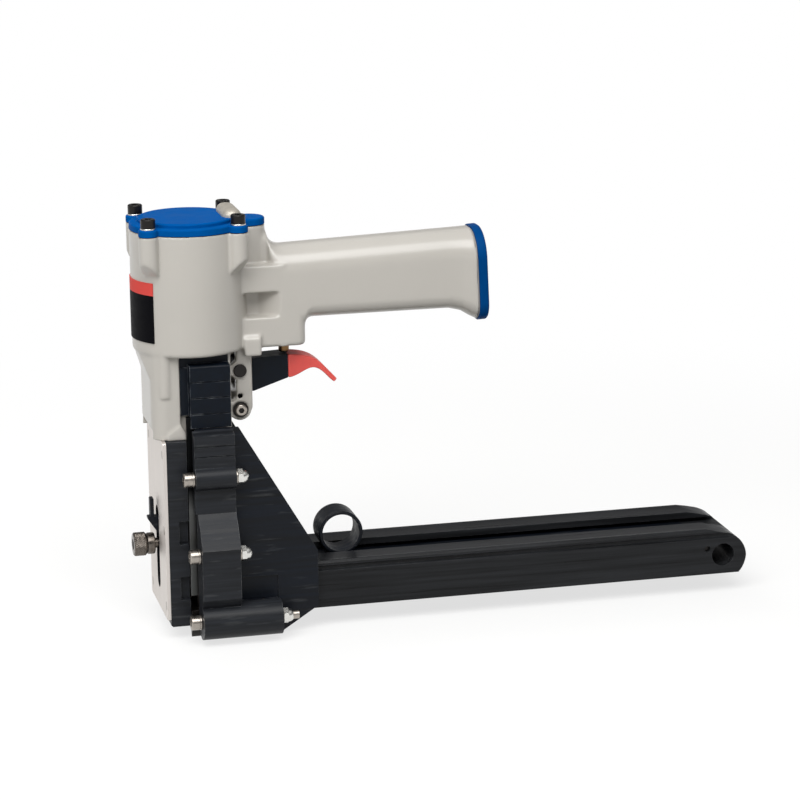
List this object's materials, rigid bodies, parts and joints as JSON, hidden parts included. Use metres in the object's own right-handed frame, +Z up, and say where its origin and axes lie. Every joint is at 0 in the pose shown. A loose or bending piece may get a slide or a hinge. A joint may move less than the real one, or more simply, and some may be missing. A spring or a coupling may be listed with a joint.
{
  "type": "pneumatic carton stapler",
  "caption": "Hand-held air-driven carton closing stapler: upright cylinder head with capped drum, side handle and trigger, black nose with curved clinchers, and a long low magazine behind it.",
  "frame": {"origin": "middle of the tool's footprint at the underside of the side plates", "axes": "+X from the nose to the back of the magazine, +Z up along the cylinder, +Y to the right of someone behind the handle"},
  "size_m": [0.3712, 0.104, 0.2496],
  "materials": {
    "grey_paint": "satin warm light grey paint over cast light alloy",
    "blue_paint": "satin blue paint over cast light alloy",
    "zinc": "bright zinc plate",
    "bare_alloy": "satin bare metal",
    "label_film": "plain printed film, no lettering",
    "rubber": "matt black",
    "tool_steel": "ground",
    "spring_steel": "oiled",
    "plate_steel": "brushed pale steel",
    "black_paint": "satin black coating over extruded light alloy",
    "black_steel": "black oxide",
    "bronze": "turned bronze",
    "red_sleeve": "soft coral red plastic",
    "valve_plastic": "natural plastic"
  },
  "bodies": {
    "frame": {"bumper": "rubber", "claw_pins": "tool_steel", "clincher_housing_left": "black_paint", "clincher_housing_right": "black_paint", "crosshead_cover_left": "black_paint", "crosshead_cover_right": "black_paint", "cylinder_liner": "bare_alloy", "end_cap_screws": "zinc", "exhaust_deflector": "bare_alloy", "front_guide": "tool_steel", "front_plate": "plate_steel", "front_plate_screws": "zinc", "handle_end_cap": "blue_paint", "handle_end_gasket": "rubber", "head_cap": "blue_paint", "head_gasket": "rubber", "head_lock_washers": "zinc", "head_screws": "black_steel", "head_valve_spring": "spring_steel", "housing_bolts": "zinc", "housing_nuts": "zinc", "housing_washers": "zinc", "label_plate": "label_film", "liner_seals": "rubber", "lug_screw": "black_steel", "magazine_core": "tool_steel", "magazine_end_block": "black_paint", "magazine_rail_left": "black_paint", "magazine_rail_right": "black_paint", "magazine_roll_pin": "black_steel", "main_housing": "grey_paint", "nose_block": "black_paint", "nose_screws": "black_steel", "rail_screws": "black_steel", "rear_guide": "black_paint", "side_plate_left": "black_steel", "side_plate_right": "black_steel", "trigger_pivot_pin": "black_steel", "valve_bush": "bronze", "valve_plug": "bronze", "valve_spring": "spring_steel"},
    "driver": {"piston": "bare_alloy", "piston_ring": "rubber", "driver_pin": "tool_steel", "driver_blade": "tool_steel", "crosshead": "tool_steel"},
    "head_valve": {"head_valve": "valve_plastic"},
    "trigger": {"trigger_lever": "black_paint", "trigger_sleeve": "red_sleeve"},
    "valve_stem": {"valve_stem": "bronze"},
    "pusher": {"pusher": "black_steel", "pusher_ring": "black_steel", "spring_roll": "tool_steel"},
    "claw_left": {"clincher_claw_left": "black_steel"},
    "claw_right": {"clincher_claw_right": "black_steel"},
    "bar_left": {"clincher_bar_left": "tool_steel"},
    "bar_right": {"clincher_bar_right": "tool_steel"},
    "adjuster": {"adjuster_slider": "black_steel", "adjusting_nut": "bronze"},
    "clamp_screw": {"adjusting_screw": "black_steel"}
  },
  "joints": [
    {"name": "driver_slide", "type": "slide", "parent": "frame", "child": "driver", "axis": [0, 0, -1], "range_m": [0, 0.04]},
    {"name": "head_valve_lift", "type": "slide", "parent": "frame", "child": "head_valve", "axis": [0, 0, 1], "range_m": [0, 0.002], "stiffness_N_per_m": 2000, "springref_m": -0.002, "deforming": ["head_valve_spring"]},
    {"name": "trigger_turn", "type": "hinge", "parent": "frame", "child": "trigger", "pos_m": [-0.12205, 0, 0.1552], "axis": [0, -1, 0], "range_deg": [0, 7], "stiffness_Nm_per_rad": 0.8, "springref_deg": -4.58},
    {"name": "valve_stem_lift", "type": "slide", "parent": "frame", "child": "valve_stem", "axis": [0, 0, 1], "range_m": [0, 0.0036], "deforming": ["valve_spring"]},
    {"name": "pusher_slide", "type": "slide", "parent": "frame", "child": "pusher", "axis": [1, 0, 0], "range_m": [0, 0.205], "stiffness_N_per_m": 20, "springref_m": -0.25},
    {"name": "claw_left_turn", "type": "hinge", "parent": "frame", "child": "claw_left", "pos_m": [-0.15465, -0.009, 0.0135], "axis": [1, 0, 0], "range_deg": [0, 50]},
    {"name": "claw_right_turn", "type": "hinge", "parent": "frame", "child": "claw_right", "pos_m": [-0.15465, 0.009, 0.0135], "axis": [-1, 0, 0], "range_deg": [0, 50]},
    {"name": "bar_left_slide", "type": "slide", "parent": "frame", "child": "bar_left", "axis": [0, 0, -1], "range_m": [0, 0.02]},
    {"name": "bar_right_slide", "type": "slide", "parent": "frame", "child": "bar_right", "axis": [0, 0, -1], "range_m": [0, 0.02]},
    {"name": "adjuster_slide", "type": "slide", "parent": "frame", "child": "adjuster", "axis": [0, 0, 1], "range_m": [-0.018, 0.004]},
    {"name": "clamp_screw_turn", "type": "hinge", "parent": "adjuster", "child": "clamp_screw", "pos_m": [-0.17865, 0, 0.0511], "axis": [-1, 0, 0], "range_deg": [0, 540]}
  ],
  "couplings": [
    {"joint": "valve_stem_lift", "follows": "trigger_turn", "m_per_rad": 0.0289},
    {"joint": "claw_left_turn", "follows": "driver_slide", "rad_per_m": 21.8},
    {"joint": "claw_right_turn", "follows": "driver_slide", "rad_per_m": 21.8},
    {"joint": "bar_left_slide", "follows": "driver_slide", "ratio": 0.5},
    {"joint": "bar_right_slide", "follows": "driver_slide", "ratio": 0.5}
  ]
}
